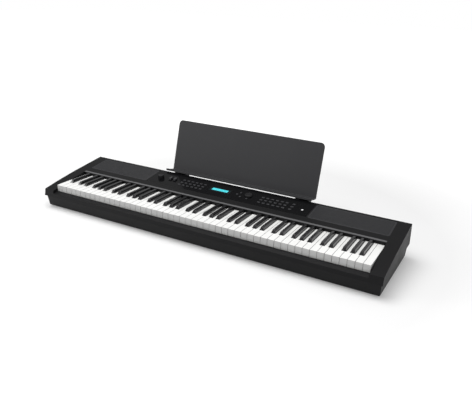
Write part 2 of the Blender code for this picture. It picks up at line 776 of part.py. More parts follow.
def make_knobs():
    shaft = 3.0 * MM
    shaft_low = BOARD_W + 2.2 * MM
    knobs = (
        ("volume_knob", KNOB_PLACE, KNOB_RADIUS, KNOB_HEIGHT),
        ("data_dial", DIAL_PLACE, DIAL_RADIUS, DIAL_HEIGHT),
    )
    for name, place, radius, height in knobs:
        profile = (
            (shaft, shaft_low),
            (shaft, 0.7 * MM),
            (radius, 0.7 * MM),
            (radius * 0.94, height - 1.2 * MM),
            (radius * 0.86, height),
        )
        body = turned(name, place, profile)
        if name == "volume_knob":
            pointer = box(
                "pointer",
                (place[0] - 0.8 * MM, place[0] + 0.8 * MM),
                (place[1] + radius * 0.35, place[1] + radius * 1.2),
                (height - 1.0 * MM, height + 2 * MM),
            )
            cut(body, pointer)
        else:
            dimple = disc("dimple", (place[0], place[1] + radius * 0.5), 3.2 * MM, height - 1 * MM, height + 2 * MM, 12)
            cut(body, dimple)
        finish(body, BUTTON, PANEL_FRAME, (*place, 0.0))

    for number, u in enumerate(SLIDERS_X, 1):
        stem = box(
            f"slider_cap_{number}",
            (u - 1.1 * MM, u + 1.1 * MM),
            (SLIDER_V - 3 * MM, SLIDER_V + 3 * MM),
            (shaft_low, 2 * MM),
        )
        cap = prism(
            "cap",
            (
                (SLIDER_V - 8 * MM, 0.8 * MM),
                (SLIDER_V + 8 * MM, 0.8 * MM),
                (SLIDER_V + 6.5 * MM, 7.5 * MM),
                (SLIDER_V, 6.3 * MM),
                (SLIDER_V - 6.5 * MM, 7.5 * MM),
            ),
            u - 4.5 * MM,
            u + 4.5 * MM,
            "x",
        )
        finish(join(stem, cap), BUTTON, PANEL_FRAME, (u, SLIDER_V, 0.0))


def leaned(outline_height):
    """(y, z) of a point that far up the leaning plate from its bend."""
    return (
        REST_BEND_Y + outline_height * math.sin(LEAN),
        REST_BEND_Z + outline_height * math.cos(LEAN),
    )


REST_LENGTH = math.hypot(REST_TOP_Y - REST_BEND_Y, REST_TOP_Z - REST_BEND_Z)
BRACKET_SCREWS_Z = (-24 * MM, 4 * MM)


def lean_matrix():
    """Takes (x, height up the plate, distance before its face) to the key frame."""
    bend = Vector((0.0, REST_BEND_Y, REST_BEND_Z))
    return Matrix.Translation(bend) @ Matrix.Rotation(math.pi / 2 - LEAN, 4, "X")


def make_music_rest():
    outline = rounded(
        (-REST_HALF, REST_HALF), (0.0, REST_LENGTH), REST_CORNER, 6, (False, False, True, True)
    )
    plate = prism("music_rest", outline, -REST_THICK, 0.0)
    for side in (-1, 1):
        x = side * BRACKET_X
        tongue = rounded(
            (x - REST_TONGUE_HALF, x + REST_TONGUE_HALF),
            (-REST_TONGUE, 8 * MM),
            4 * MM,
            3,
            (True, True, False, False),
        )
        join(plate, prism("tongue", tongue, -REST_THICK, 0.0))
    plate.data.transform(lean_matrix())
    lip_run = Vector((REST_BEND_Y - REST_LIP_Y, REST_BEND_Z - REST_LIP_Z))
    along = lip_run.normalized()
    square = Vector((along.y, -along.x)) * REST_THICK
    curl = Vector((-along.y, along.x)) * 4.5 * MM
    front = Vector((REST_LIP_Y, REST_LIP_Z))
    bend = Vector((REST_BEND_Y, REST_BEND_Z)) + along * 1.5 * MM
    lip = prism(
        "lip",
        [
            tuple(bend),
            tuple(bend + square),
            tuple(front + square),
            tuple(front + curl),
            tuple(front + curl + along * REST_THICK),
            tuple(front + along * REST_THICK),
        ],
        -REST_HALF,
        REST_HALF,
        "x",
    )
    finish(join(plate, lip), REST)


def make_brackets():
    """Holders on the case's rear face, each with a slot for one tongue of the rest."""
    sink_y, sink_z = leaned(-REST_TONGUE - 8 * MM)
    face = 1.2 * MM
    for side, name in ((-1, "rest_bracket_left"), (1, "rest_bracket_right")):
        x = side * BRACKET_X
        lean_back = (SKIRT_BACK_Y - REAR_TOP_Y) / (REAR_TOP_Z - SKIRT_Z)

        def rear_face(z):
            return REAR_TOP_Y + (REAR_TOP_Z - z) * lean_back + face

        top_back = leaned(-5 * MM)
        body = prism(
            name,
            (
                (rear_face(-34 * MM), -34 * MM),
                (rear_face(24 * MM), 24 * MM),
                (top_back[0] + 12 * MM, top_back[1] - 4 * MM),
                (sink_y + 10 * MM, sink_z - 4 * MM),
            ),
            x - BRACKET_HALF,
            x + BRACKET_HALF,
            "x",
        )
        slot = prism(
            "slot",
            rounded(
                (x - REST_TONGUE_HALF - 0.8 * MM, x + REST_TONGUE_HALF + 0.8 * MM),
                (-REST_TONGUE - 1 * MM, 30 * MM),
                2 * MM,
                1,
            ),
            -REST_THICK - 0.6 * MM,
            0.6 * MM,
        )
        slot.data.transform(lean_matrix())
        finish(cut(body, slot), CASE)


REAR_OPENINGS = (
    ("jack_opening", -60 * MM, -18 * MM, 68 * MM, 11 * MM),
    ("inlet_opening", -160 * MM, -18 * MM, 9 * MM, 9 * MM),
)
JACK_X = (-110 * MM, -85 * MM, -60 * MM)
JACK_RADIUS = 3.4 * MM
MIDI_X = -20 * MM


def socket(x, z, front, back):
    """A round cutter along y, from one depth to the other."""
    made = disc("socket", (x, z), JACK_RADIUS, -back, -front, 12)
    made.data.transform(Matrix.Rotation(math.pi / 2, 4, "X"))
    return made


def make_rear_sockets():
    _, x, z, half_x, half_z = REAR_OPENINGS[0]
    outer = SKIRT_BACK_Y - 7.0 * MM
    inner = outer - 17 * MM
    block = box(
        "rear_jack_block",
        (x - half_x + 0.6 * MM, x + half_x - 0.6 * MM),
        (inner, outer),
        (z - half_z + 0.6 * MM, z + half_z - 0.6 * MM),
    )
    for jack_x in JACK_X:
        cut(block, socket(jack_x, z, inner + 2 * MM, outer + 5 * MM))
    cut(
        block,
        box(
            "data_port",
            (MIDI_X - 6 * MM, MIDI_X + 6 * MM),
            (inner + 3 * MM, outer + 5 * MM),
            (z - 5.5 * MM, z + 5.5 * MM),
        ),
    )
    finish(block, CASE)
    _, x, z, half_x, half_z = REAR_OPENINGS[1]
    inlet = box(
        "power_inlet",
        (x - half_x + 0.6 * MM, x + half_x - 0.6 * MM),
        (inner, outer),
        (z - half_z + 0.6 * MM, z + half_z - 0.6 * MM),
    )
    cut(inlet, socket(x, z, inner + 3 * MM, outer + 5 * MM))
    finish(inlet, CASE)


def make_boards():
    plate = box("main_board", (330 * MM, 470 * MM), (215 * MM, 258 * MM), (-54 * MM, -52.4 * MM))
    chips = (
        box("processor", (380 * MM, 404 * MM), (222 * MM, 246 * MM), (-53 * MM, -50.4 * MM)),
        box("heat_sink", (425 * MM, 455 * MM), (222 * MM, 232 * MM), (-53 * MM, -40 * MM)),
        box("stand_left", (332 * MM, 337 * MM), (216 * MM, 256 * MM), (-57.9 * MM, -53 * MM)),
        box("stand_right", (463 * MM, 468 * MM), (216 * MM, 256 * MM), (-57.9 * MM, -53 * MM)),
    )
    finish(join(plate, *chips), BOARD)


def make_feet():
    for side, hand in ((-1, "left"), (1, "right")):
        for y, end in zip(FOOT_Y, ("front", "rear")):
            low = FLOOR_Z - GAP - FOOT_HEIGHT
            foot = disc(f"foot_{end}_{hand}", (side * FOOT_X, y), FOOT_RADIUS, low, low + FOOT_HEIGHT, 20)
            finish(foot, RUBBER)


make_top_case()
make_bottom_case()
make_chassis()
make_keys()
make_grilles()
make_speakers()
make_control_panel()
make_buttons()
make_knobs()
make_music_rest()
make_brackets()
make_rear_sockets()
make_boards()
make_feet()
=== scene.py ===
import json
import math

import bmesh
import bpy
from mathutils import Matrix, Vector


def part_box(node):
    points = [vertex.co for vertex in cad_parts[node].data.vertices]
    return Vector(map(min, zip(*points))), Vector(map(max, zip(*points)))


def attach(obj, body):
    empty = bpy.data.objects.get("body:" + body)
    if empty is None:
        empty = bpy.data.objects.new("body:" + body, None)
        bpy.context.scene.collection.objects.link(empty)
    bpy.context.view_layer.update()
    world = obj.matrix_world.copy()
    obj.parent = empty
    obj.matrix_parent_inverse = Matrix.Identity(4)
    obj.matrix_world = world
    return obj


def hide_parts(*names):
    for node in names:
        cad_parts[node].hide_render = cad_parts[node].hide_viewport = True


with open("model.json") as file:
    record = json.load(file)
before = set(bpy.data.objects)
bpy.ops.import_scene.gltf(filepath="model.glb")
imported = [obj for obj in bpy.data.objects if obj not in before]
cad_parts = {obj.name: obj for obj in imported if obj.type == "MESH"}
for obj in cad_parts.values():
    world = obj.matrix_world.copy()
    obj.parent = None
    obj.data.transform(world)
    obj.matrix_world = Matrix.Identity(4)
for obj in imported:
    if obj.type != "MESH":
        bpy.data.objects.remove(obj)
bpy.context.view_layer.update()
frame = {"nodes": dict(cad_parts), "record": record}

MM = 0.001

# Who carries each node, and which finish the record gives it
BODIES = frame["record"]["behaviour"]["bodies"]
BODY_OF = {node: body for body, nodes in BODIES.items() for node in nodes}
SLOT_OF = {part["node"]: part["material_slot"] for part in frame["record"]["subparts"]}


def corners_of(node):
    low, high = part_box(node)
    return Vector(low), Vector(high)


# The slope of the deck, and places on it
DECK_RISE = 19.2 * MM
DECK_RUN = 141.1 * MM
SLOPE = math.atan2(DECK_RISE, DECK_RUN)
DECK_TURN = Matrix.Rotation(SLOPE, 3, "X")
UP_DECK = DECK_TURN @ Vector((0.0, 1.0, 0.0))
OFF_DECK = DECK_TURN @ Vector((0.0, 0.0, 1.0))
PANEL_TOP = corners_of("control_panel")[1]


def on_deck(x, y, lift):
    """The point of the sloped deck over (x, y), moved off its face by the lift."""
    z = PANEL_TOP.z + (y - PANEL_TOP.y) * math.tan(SLOPE)
    return Vector((x, y, z)) + OFF_DECK * lift


# Nodes, and shader maths as expressions
class Shade:
    """A node's output, which adds, subtracts, multiplies and compares by making Math nodes."""

    def __init__(self, tree, socket):
        self.tree = tree
        self.socket = socket

    def math(self, operation, *others):
        return self.worked(operation, self, *others)

    def worked(self, operation, *values):
        sockets = {f"_{place}": value for place, value in enumerate(values)}
        return Palette(self.tree).node("ShaderNodeMath", 0, {"operation": operation}, **sockets)

    def size(self):
        return self.math("ABSOLUTE")

    def __add__(self, other):
        return self.math("ADD", other)

    def __sub__(self, other):
        return self.math("SUBTRACT", other)

    def __rsub__(self, other):
        return self.worked("SUBTRACT", other, self)

    def __mul__(self, other):
        return self.math("MULTIPLY", other)

    def __lt__(self, other):
        return self.math("LESS_THAN", other)

    def __gt__(self, other):
        return self.math("GREATER_THAN", other)

    __radd__ = __add__
    __rmul__ = __mul__


class Palette:
    """A node tree and the one method that puts any node into it."""

    def __init__(self, tree):
        self.tree = tree

    def node(self, kind, wanted, settings=None, **sockets):
        """Puts in a node, sets or links its sockets, and gives back the outputs wanted.

        A socket is called by its label with _ for each space, or by _ and its number."""
        made = self.tree.nodes.new(kind)
        for name, value in (settings or {}).items():
            setattr(made, name, value)
        for name, value in sockets.items():
            place = int(name[1:]) if name[1:].isdigit() else name.replace("_", " ")
            if isinstance(value, Shade):
                self.tree.links.new(value.socket, made.inputs[place])
            else:
                made.inputs[place].default_value = value
        if isinstance(wanted, tuple):
            return [Shade(self.tree, made.outputs[output]) for output in wanted]
        return Shade(self.tree, made.outputs[wanted])

    def split(self, vector):
        return self.node("ShaderNodeSeparateXYZ", (0, 1, 2), _0=vector)


class Finish(Palette):
    """A material and the few moves that all of this instrument's finishes need."""

    def __init__(self, name, colour, roughness, **constants):
        self.material = bpy.data.materials.new(name)
        self.material.use_nodes = True
        self.material.diffuse_color = (*colour, 1.0)
        super().__init__(self.material.node_tree)
        self.shader = self.tree.nodes["Principled BSDF"]
        self.colour = colour
        self.set("Base Color", (*colour, 1.0))
        self.set("Roughness", roughness)
        for socket, value in constants.items():
            self.set(socket.replace("_", " "), value)

    def set(self, name, value):
        if isinstance(value, Shade):
            self.tree.links.new(value.socket, self.shader.inputs[name])
        else:
            self.shader.inputs[name].default_value = value

    def spot(self):
        return self.node("ShaderNodeTexCoord", "Object")

    def noise(self, scale, detail=2.0, roughness=0.5, stretch=None):
        where = self.spot()
        if stretch:
            where = self.node("ShaderNodeMapping", "Vector", Vector=where, Scale=stretch)
        return self.node(
            "ShaderNodeTexNoise",
            "Fac",
            Vector=where,
            Scale=scale,
            Detail=detail,
            Roughness=roughness,
        )

    def cloud(self, scale):
        """A soft, broken pattern, which colour and gloss can share."""
        return self.noise(scale, 4.0, 0.6)

    def spread(self, value, start, end, low, high):
        """The value, taken from between start and end to between low and high."""
        return self.node(
            "ShaderNodeMapRange",
            "Result",
            Value=value,
            From_Min=start,
            From_Max=end,
            To_Min=low,
            To_Max=high,
        )

    def blend(self, factor, first, second):
        """Two colours mixed by the factor, where each may itself be a mix."""
        ends = [end if isinstance(end, Shade) else (*end, 1.0) for end in (first, second)]
        return self.node("ShaderNodeMix", 2, {"data_type": "RGBA"}, _0=factor, _6=ends[0], _7=ends[1])

    def mottle(self, pattern, share):
        """The finish's own colour, darker and lighter by the share of it."""
        darker = tuple(c * (1 - share) for c in self.colour)
        lighter = tuple(c * (1 + share) for c in self.colour)
        self.set("Base Color", self.blend(pattern, darker, lighter))

    def gloss(self, pattern, low, high):
        """Roughness that wanders between low and high with the pattern."""
        self.set("Roughness", self.spread(pattern, 0.3, 0.7, low, high))

    def bump(self, height, strength, distance):
        normal = self.node(
            "ShaderNodeBump", "Normal", Height=height, Strength=strength, Distance=distance
        )
        self.set("Normal", normal)


# Moulded plastics
MOULD_CLOUD = 9.0
# Where the painted highlight lies along the case's front lip, and how far it reaches
LIP_FRONT_Y = -31.6 * MM
LIP_TOP_Z = 104.3 * MM
LIP_FACE = 2 * MM
LIP_DEPTH = 8 * MM
LIP_HEIGHT = 1 * MM
KEYBED_HALF = 613 * MM
POWER_DOT_RADIUS = 5 * MM


def moulded(name, colour, roughness, specular, grain, depth):
    """Moulded plastic with a fine spark-eroded grain, and the cloud in its gloss."""
    look = Finish(name, colour, roughness, Specular_IOR_Level=specular)
    cloud = look.cloud(MOULD_CLOUD)
    look.gloss(cloud, roughness - 0.05, roughness + 0.05)
    look.bump(look.noise(grain, 2.0, 0.6), depth, 0.08 * MM)
    return look, cloud


def case_finish():
    """Case plastic, with a painted highlight in a lighter colour along the front lip of the deck
    between the cheeks.
    """
    look, cloud = moulded("case_grain", (0.005, 0.005, 0.0055), 0.5, 0.17, 2600.0, 0.25)
    across, back, up = look.split(look.spot())
    behind_lip = back - LIP_FRONT_Y
    # The lighter strip on the lip is a painted highlight, standing in for light caught by a bevel
    painted_lip_highlight = (across.size() < KEYBED_HALF) * (up > LIP_TOP_Z - LIP_HEIGHT)
    painted_lip_highlight = painted_lip_highlight * (behind_lip > -LIP_FACE) * (behind_lip < LIP_DEPTH)
    plain = look.blend(cloud, (0.0046, 0.0046, 0.0051), (0.0056, 0.0056, 0.0061))
    look.set("Base Color", look.blend(painted_lip_highlight, plain, (0.10, 0.10, 0.103)))
    return look.material


def cap_finish(name, colour, roughness, specular):
    """The satin plastic of buttons and knobs."""
    look, cloud = moulded(name, colour, roughness, specular, 1800.0, 0.15)
    look.mottle(cloud, 0.06)
    return look.material


def power_finish():
    """A pearly dot in the middle of a dark cap."""
    look = Finish("power_cap_pearl", (0.78, 0.78, 0.79), 0.25, Coat_Weight=0.3)
    look.gloss(look.cloud(300.0), 0.21, 0.29)
    low, high = corners_of("power_button")
    middle = (low + high) / 2
    away = look.node(
        "ShaderNodeVectorMath", "Value", {"operation": "DISTANCE"}, _0=look.spot(), _1=middle
    )
    pearl = look.blend(look.noise(300.0), (0.76, 0.76, 0.77), (0.8, 0.8, 0.81))
    look.set("Base Color", look.blend(away < POWER_DOT_RADIUS, (0.012, 0.012, 0.013), pearl))
    return look.material


# Keys
# How far the painted shade in the gaps between keys reaches, and how squarely a face must look forward
# to take the painted front shade
KEY_GAP_REACH = 3.5 * MM
FACING_FRONT = -0.8


def white_key_finish():
    """Smooth acrylic with a faint warm cast, with painted shade greying the keys' fronts and painted
    shade darkening their gaps.
    """
    look = Finish("white_key_acrylic", (0.83, 0.83, 0.815), 0.2, Coat_Weight=0.25, Coat_Roughness=0.08)
    top = look.blend(look.noise(5.0), (0.80, 0.80, 0.785), (0.85, 0.85, 0.84))
    # The fronts of the keys are painted a darker grey: painted shade for faces that get less light than
    # the tops
    facing = look.split(look.node("ShaderNodeNewGeometry", "Normal"))[1]
    face = look.blend(facing < FACING_FRONT, top, (0.44, 0.44, 0.435))
    # Painted shade: ambient occlusion darkens the colour in the closed-in gaps between keys
    open_air = look.node("ShaderNodeAmbientOcclusion", "AO", Distance=KEY_GAP_REACH)
    painted_gap_shade = 1 - open_air * open_air
    look.set("Base Color", look.blend(painted_gap_shade, face, (0.12, 0.12, 0.12)))
    look.gloss(look.noise(40.0, 3.0), 0.16, 0.24)
    look.bump(look.noise(22.0, 1.0), 0.04, 0.4 * MM)
    return look.material


def black_key_finish():
    """Polished black with fine lengthwise touch marks."""
    look = Finish("black_key_polish", (0.010, 0.010, 0.011), 0.16, Coat_Weight=0.4, Coat_Roughness=0.06)
    look.gloss(look.noise(60.0, 3.0, 0.6, (1.0, 0.12, 1.0)), 0.12, 0.22)
    look.bump(look.noise(900.0), 0.06, 0.05 * MM)
    return look.material


# Deck fittings
CELL_WIDTH = 4.3 * MM
CELL_HEIGHT = 5.6 * MM


def panel_finish():
    """Glossy black sheet with a little dust on it."""
    look = Finish(
        "control_panel_gloss",
        (0.004, 0.004, 0.0045),
        0.16,
        Coat_Weight=0.03,
        Coat_Roughness=0.07,
        Specular_IOR_Level=0.12,
    )
    dust = look.noise(1400.0, 3.0, 0.7) > 0.72
    look.set("Base Color", look.blend(dust, look.colour, (0.012, 0.012, 0.013)))
    look.set("Roughness", look.spread(look.noise(14.0, 4.0, 0.65), 0.35, 0.7, 0.13, 0.22))
    return look.material


def grille_finish():
    look = Finish("grille_enamel", (0.024, 0.024, 0.026), 0.5, Specular_IOR_Level=0.3)
    cloud = look.cloud(16.0)
    look.mottle(cloud, 0.10)
    look.gloss(cloud, 0.44, 0.56)
    look.bump(look.noise(1800.0, 2.0, 0.6), 0.3, 0.06 * MM)
    return look.material


def rest_finish():
    look = Finish("rest_satin", (0.030, 0.030, 0.032), 0.58, Specular_IOR_Level=0.25)
    cloud = look.noise(3.2, 3.0, 0.55)
    look.set("Base Color", look.blend(cloud, (0.026, 0.026, 0.028), (0.034, 0.034, 0.036)))
    look.gloss(look.noise(420.0), 0.52, 0.64)
    look.bump(look.noise(1500.0, 2.0, 0.6), 0.22, 0.06 * MM)
    return look.material


def screen_finish():
    """A backlit cyan screen, dark at its rim, with plain cells a little darker than the rest."""
    look = Finish("screen_backlight", (0.02, 0.16, 0.19), 0.25, Coat_Weight=0.1)
    look.set("Base Color", (0.004, 0.006, 0.007, 1.0))
    low, high = corners_of("display_window")
    half = (high - low) / 2
    centred = look.node(
        "ShaderNodeMapping", "Vector", Vector=look.spot(), Location=-(low + high) / 2
    )
    across, up, _ = look.split(centred)
    columns = across * (1 / CELL_WIDTH)
    rows = up * (1 / CELL_HEIGHT)
    address = look.node(
        "ShaderNodeCombineXYZ", "Vector", X=columns.math("FLOOR"), Y=rows.math("FLOOR")
    )
    chance = look.node(
        "ShaderNodeTexWhiteNoise", "Value", {"noise_dimensions": "2D"}, Vector=address
    )
    field = (across.size() < half.x * 0.70) * (up.size() < half.y * 0.50)
    cell = (columns.math("FRACT") > 0.22) * (rows.math("FRACT") > 0.25) * (chance > 0.45) * field
    lit = (across.size() < half.x * 0.77) * (up.size() < half.y * 0.58)
    glow = look.blend(cell, (0.10, 0.86, 0.95), (0.05, 0.66, 0.76))
    look.set("Emission Color", look.blend(lit, (0.001, 0.006, 0.007), glow))
    look.set("Emission Strength", 0.95)
    return look.material


# Metal, inner parts and feet
def steel_finish():
    look = Finish("rolled_steel", (0.42, 0.42, 0.43), 0.35, Metallic=1.0)
    streak = look.noise(180.0, 4.0, 0.6, (0.05, 1.0, 1.0))
    look.gloss(streak, 0.26, 0.46)
    look.bump(streak, 0.08, 0.1 * MM)
    return look.material


def nickel_finish():
    look = Finish("bright_nickel", (0.62, 0.61, 0.59), 0.22, Metallic=1.0)
    look.gloss(look.noise(500.0, 3.0), 0.16, 0.3)
    return look.material


def board_finish():
    """Green lacquer over raised copper tracks."""
    look = Finish("green_board", (0.015, 0.10, 0.045), 0.4)
    track = look.noise(260.0, 1.0, 0.4, (1.0, 0.25, 1.0)) > 0.55
    look.set("Base Color", look.blend(track, (0.012, 0.085, 0.04), (0.03, 0.17, 0.08)))
    look.bump(track, 0.2, 0.1 * MM)
    return look.material


def felt_finish():
    look = Finish("key_felt", (0.22, 0.03, 0.03), 0.95)
    fibre = look.noise(1500.0, 4.0, 0.7)
    look.set("Base Color", look.blend(fibre, (0.14, 0.015, 0.015), (0.30, 0.05, 0.05)))
    look.bump(fibre, 0.6, 0.4 * MM)
    return look.material


def cone_finish():
    look = Finish("speaker_paper", (0.022, 0.022, 0.022), 0.8)
    cloud = look.cloud(120.0)
    look.mottle(cloud, 0.2)
    look.gloss(cloud, 0.72, 0.88)
    look.bump(look.noise(700.0, 3.0, 0.7), 0.4, 0.3 * MM)
    return look.material


def rubber_finish():
    look = Finish("foot_rubber", (0.018, 0.018, 0.018), 0.85)
    cloud = look.cloud(60.0)
    look.mottle(cloud, 0.15)
    look.gloss(cloud, 0.79, 0.91)
    look.bump(look.noise(1600.0, 2.0, 0.7), 0.35, 0.1 * MM)
    return look.material


LOOKS = {
    "case_plastic": case_finish(),
    "panel_gloss": panel_finish(),
    "grille_paint": grille_finish(),
    "white_keys": white_key_finish(),
    "black_keys": black_key_finish(),
    "button_plastic": cap_finish("button_satin", (0.034, 0.034, 0.037), 0.4, 0.4),
    "power_cap": power_finish(),
    "display_glass": screen_finish(),
    "rest_paint": rest_finish(),
    "steel": steel_finish(),
    "circuit_board": board_finish(),
    "rubber": rubber_finish(),
    "felt": felt_finish(),
    "speaker_cone": cone_finish(),
}
NICKEL = nickel_finish()
KNOB = cap_finish("knob_satin", (0.009, 0.009, 0.010), 0.42, 0.3)


# Building and handing over pieces
def as_object(name, shape):
    mesh = bpy.data.meshes.new(name)
    shape.to_mesh(mesh)
    shape.free()
    made = bpy.data.objects.new(name, mesh)
    bpy.context.scene.collection.objects.link(made)
    return made


def shaded(made, crease):
    """Smooth shading that breaks at edges sharper than the crease, in degrees."""
    made.data.shade_smooth()
    made.data.set_sharp_from_angle(angle=math.radians(crease))
    return made


def realised(made):
    """The evaluated shape as a plain mesh, with the modifiers gone."""
    graph = bpy.context.evaluated_depsgraph_get()
    mesh = bpy.data.meshes.new_from_object(made.evaluated_get(graph))
    made.modifiers.clear()
    made.data = mesh
    return made


def settle(made, carrier, stands_for=()):
    """Makes the piece ride on the body that carries that node, and hides the nodes it stands for."""
    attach(made, BODY_OF[carrier])
    for node in stands_for:
        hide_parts(node)


def circle(shape, sides, radius, height):
    ring = []
    for i in range(sides):
        angle = 2 * math.pi * i / sides
        ring.append(shape.verts.new((radius * math.cos(angle), radius * math.sin(angle), height)))
    return ring


def skin(shape, rings):
    """Faces between each ring of vertices and the next."""
    for near, far in zip(rings, rings[1:]):
        for i in range(len(near)):
            j = (i + 1) % len(near)
            shape.faces.new((near[i], near[j], far[j], far[i]))


def cap_ends(shape, rings):
    shape.faces.new(list(reversed(rings[0])))
    shape.faces.new(rings[-1])


def outward(shape):
    bmesh.ops.recalc_face_normals(shape, faces=shape.faces)
    return shape


# Repeats made with Geometry Nodes
SMALL_CREASE = 35


class Grove(Palette):
    """A Geometry Nodes tree under construction, whose named inputs become modifier values."""

    def __init__(self, name):
        super().__init__(bpy.data.node_groups.new(name, "GeometryNodeTree"))
        self.tree.interface.new_socket("Geometry", in_out="OUTPUT", socket_type="NodeSocketGeometry")
        self.values = {}

    def input(self, name, kind, value):
        made = self.tree.interface.new_socket(name, in_out="INPUT", socket_type=kind)
        self.values[made.identifier] = value
        return self.node("NodeGroupInput", name)

    def grow(self, name, result, look):
        """Runs the tree on an empty mesh and gives back the plain mesh object."""
        real = self.node("GeometryNodeRealizeInstances", 0, Geometry=result)
        dressed = self.node("GeometryNodeSetMaterial", 0, Geometry=real, Material=look)
        self.node("NodeGroupOutput", (), _0=dressed)
        made = bpy.data.objects.new(name, bpy.data.meshes.new(name))
        bpy.context.scene.collection.objects.link(made)
        modifier = made.modifiers.new("grown", "NODES")
        modifier.node_group = self.tree
        for identifier, value in self.values.items():
            modifier[identifier] = value
        return realised(made)


def scattered(name, shape, spots, look, turn):
    """Turned copies of a small shape at the given places, as one mesh."""
    stamp = as_object("stamp", shape)
    dots = bmesh.new()
    for spot in spots:
        dots.verts.new(spot)
    points = as_object("points", dots)
    grove = Grove(name)
    stamp_input = grove.input("Stamp", "NodeSocketObject", stamp)
    points_input = grove.input("Points", "NodeSocketObject", points)
    turn_input = grove.input("Turn", "NodeSocketVector", turn.to_euler()[:])
    one = grove.node("GeometryNodeObjectInfo", "Geometry", Object=stamp_input)
    places = grove.node("GeometryNodeObjectInfo", "Geometry", Object=points_input)
    copies = grove.node(
        "GeometryNodeInstanceOnPoints", 0, Points=places, Instance=one, Rotation=turn_input
    )
    made = grove.grow(name, copies, look)
    for used in (stamp, points):
        bpy.data.objects.remove(used, do_unlink=True)
    return shaded(made, SMALL_CREASE)


# Shells, each a node's own shape with its edges rounded
DOUBLES = 0.001 * MM
FLAT_WITHIN = 0.6
SHELL_CREASE = 40
BUTTON_EDGE = 0.35 * MM
WHITE_KEY_EDGE = 0.45 * MM
BLACK_KEY_EDGE = 0.5 * MM
FOOT_EDGE = 0.8 * MM

EDGES = {
    "top_case": 1.0 * MM,
    "bottom_case": 1.0 * MM,
    "control_panel": 0.25 * MM,
    "music_rest": 0.7 * MM,
    "rest_bracket_left": 0.9 * MM,
    "rest_bracket_right": 0.9 * MM,
    "power_button": 0.4 * MM,
    "slider_cap_1": 0.5 * MM,
    "slider_cap_2": 0.5 * MM,
    "menu_buttons": BUTTON_EDGE,
}
for row in (1, 2, 3):
    EDGES[f"buttons_left_{row}"] = BUTTON_EDGE
    EDGES[f"buttons_right_{row}"] = BUTTON_EDGE
for octave in range(1, 8):
    EDGES[f"keys_outer_{octave}"] = WHITE_KEY_EDGE
    EDGES[f"keys_inner_{octave}"] = WHITE_KEY_EDGE
    EDGES[f"keys_black_{octave}"] = BLACK_KEY_EDGE
for end in ("front", "rear"):
    for hand in ("left", "right"):
        EDGES[f"foot_{end}_{hand}"] = FOOT_EDGE


def make_shell(node, width, look, sharper_than=30):
    """Rounds every edge sharper than the angle, in degrees, and stands for the node.

    Its shading leans to the larger faces, so that flat faces stay flat beside round edges."""
    shape = bmesh.new()
    shape.from_mesh(frame["nodes"][node].data)
    bmesh.ops.remove_doubles(shape, verts=shape.verts, dist=DOUBLES)
    bmesh.ops.dissolve_limit(
        shape, angle_limit=math.radians(FLAT_WITHIN), verts=shape.verts, edges=shape.edges
    )
    shared = [edge for edge in shape.edges if len(edge.link_faces) == 2]
    bmesh.ops.bevel(
        shape,
        geom=[edge for edge in shared if edge.calc_face_angle() > math.radians(sharper_than)],
        offset=width,
        segments=2,
        profile=0.5,
        affect="EDGES",
        clamp_overlap=True,
        material=-1,
    )
    made = shaded(as_object(f"{node}_shell", shape), SHELL_CREASE)
    made.data.materials.append(look)
    modifier = made.modifiers.new("evened", "WEIGHTED_NORMAL")
    modifier.keep_sharp = True
    settle(realised(made), node, stands_for=[node])


# Perforated speaker grilles
HOLE_PITCH = 3.8 * MM
HOLE_RADIUS = 1.1 * MM
HOLE_SIDES = 8
SHEET_THICK = 1.2 * MM
SHEET_SINK = 0.25 * MM
SHEET_DOUBLES = 0.02 * MM
GRILLE_RIM = 3.5 * MM
RIM_PLAY = 0.1 * MM
RIM_CORNER = 5.7 * MM
RIM_CORNER_STEPS = 6
RIM_ROUNDING = 0.6 * MM
RIM_DEPTH = 1.7 * MM
FIELD_OVERLAP = 0.2 * MM
FIELD_CORNER = 0.6 * MM
FIELD_EDGE_LIFT = 0.05 * MM
CHAMFER = 0.5 * MM
CHAMFER_CORNER = 1.0 * MM


def cell_face(shape, level):
    """The square round one hole at that level. Gives back the ring of the hole."""
    half = HOLE_PITCH / 2
    lift = Vector((0.0, 0.0, level))
    hole = []
    square = []
    for i in range(HOLE_SIDES):
        angle = 2 * math.pi * (i + 0.5) / HOLE_SIDES
        ray = Vector((math.cos(angle), math.sin(angle), 0.0))
        reach = half / max(abs(ray.x), abs(ray.y))
        hole.append(shape.verts.new(ray * HOLE_RADIUS + lift))
        square.append(shape.verts.new(ray * reach + lift))
    for i in range(HOLE_SIDES):
        j = (i + 1) % HOLE_SIDES
        face = [square[i], square[j], hole[j], hole[i]]
        passes_corner = i % 2 == 0
        if passes_corner:
            angle = 2 * math.pi * (i + 1) / HOLE_SIDES
            x = math.copysign(half, math.cos(angle))
            y = math.copysign(half, math.sin(angle))
            face.insert(1, shape.verts.new((x, y, level)))
        shape.faces.new(face)
    return hole


def holed_cell():
    """One square cell of the sheet with a round hole, hung from its top face."""
    shape = bmesh.new()
    skin(shape, [cell_face(shape, 0.0), cell_face(shape, -SHEET_THICK)])
    return outward(shape)


def rim_ring(shape, centre, half_u, half_v, corner, lift):
    """A rectangle with round corners, in the slope of the deck."""
    ring = []
    for quarter, (side_u, side_v) in enumerate(((1, 1), (-1, 1), (-1, -1), (1, -1))):
        for step in range(RIM_CORNER_STEPS + 1):
            angle = (quarter + step / RIM_CORNER_STEPS) * math.pi / 2
            u = side_u * (half_u - corner) + corner * math.cos(angle)
            v = side_v * (half_v - corner) + corner * math.sin(angle)
            spot = centre + Vector((u, 0.0, 0.0)) + UP_DECK * v + OFF_DECK * lift
            ring.append(shape.verts.new(spot))
    return ring


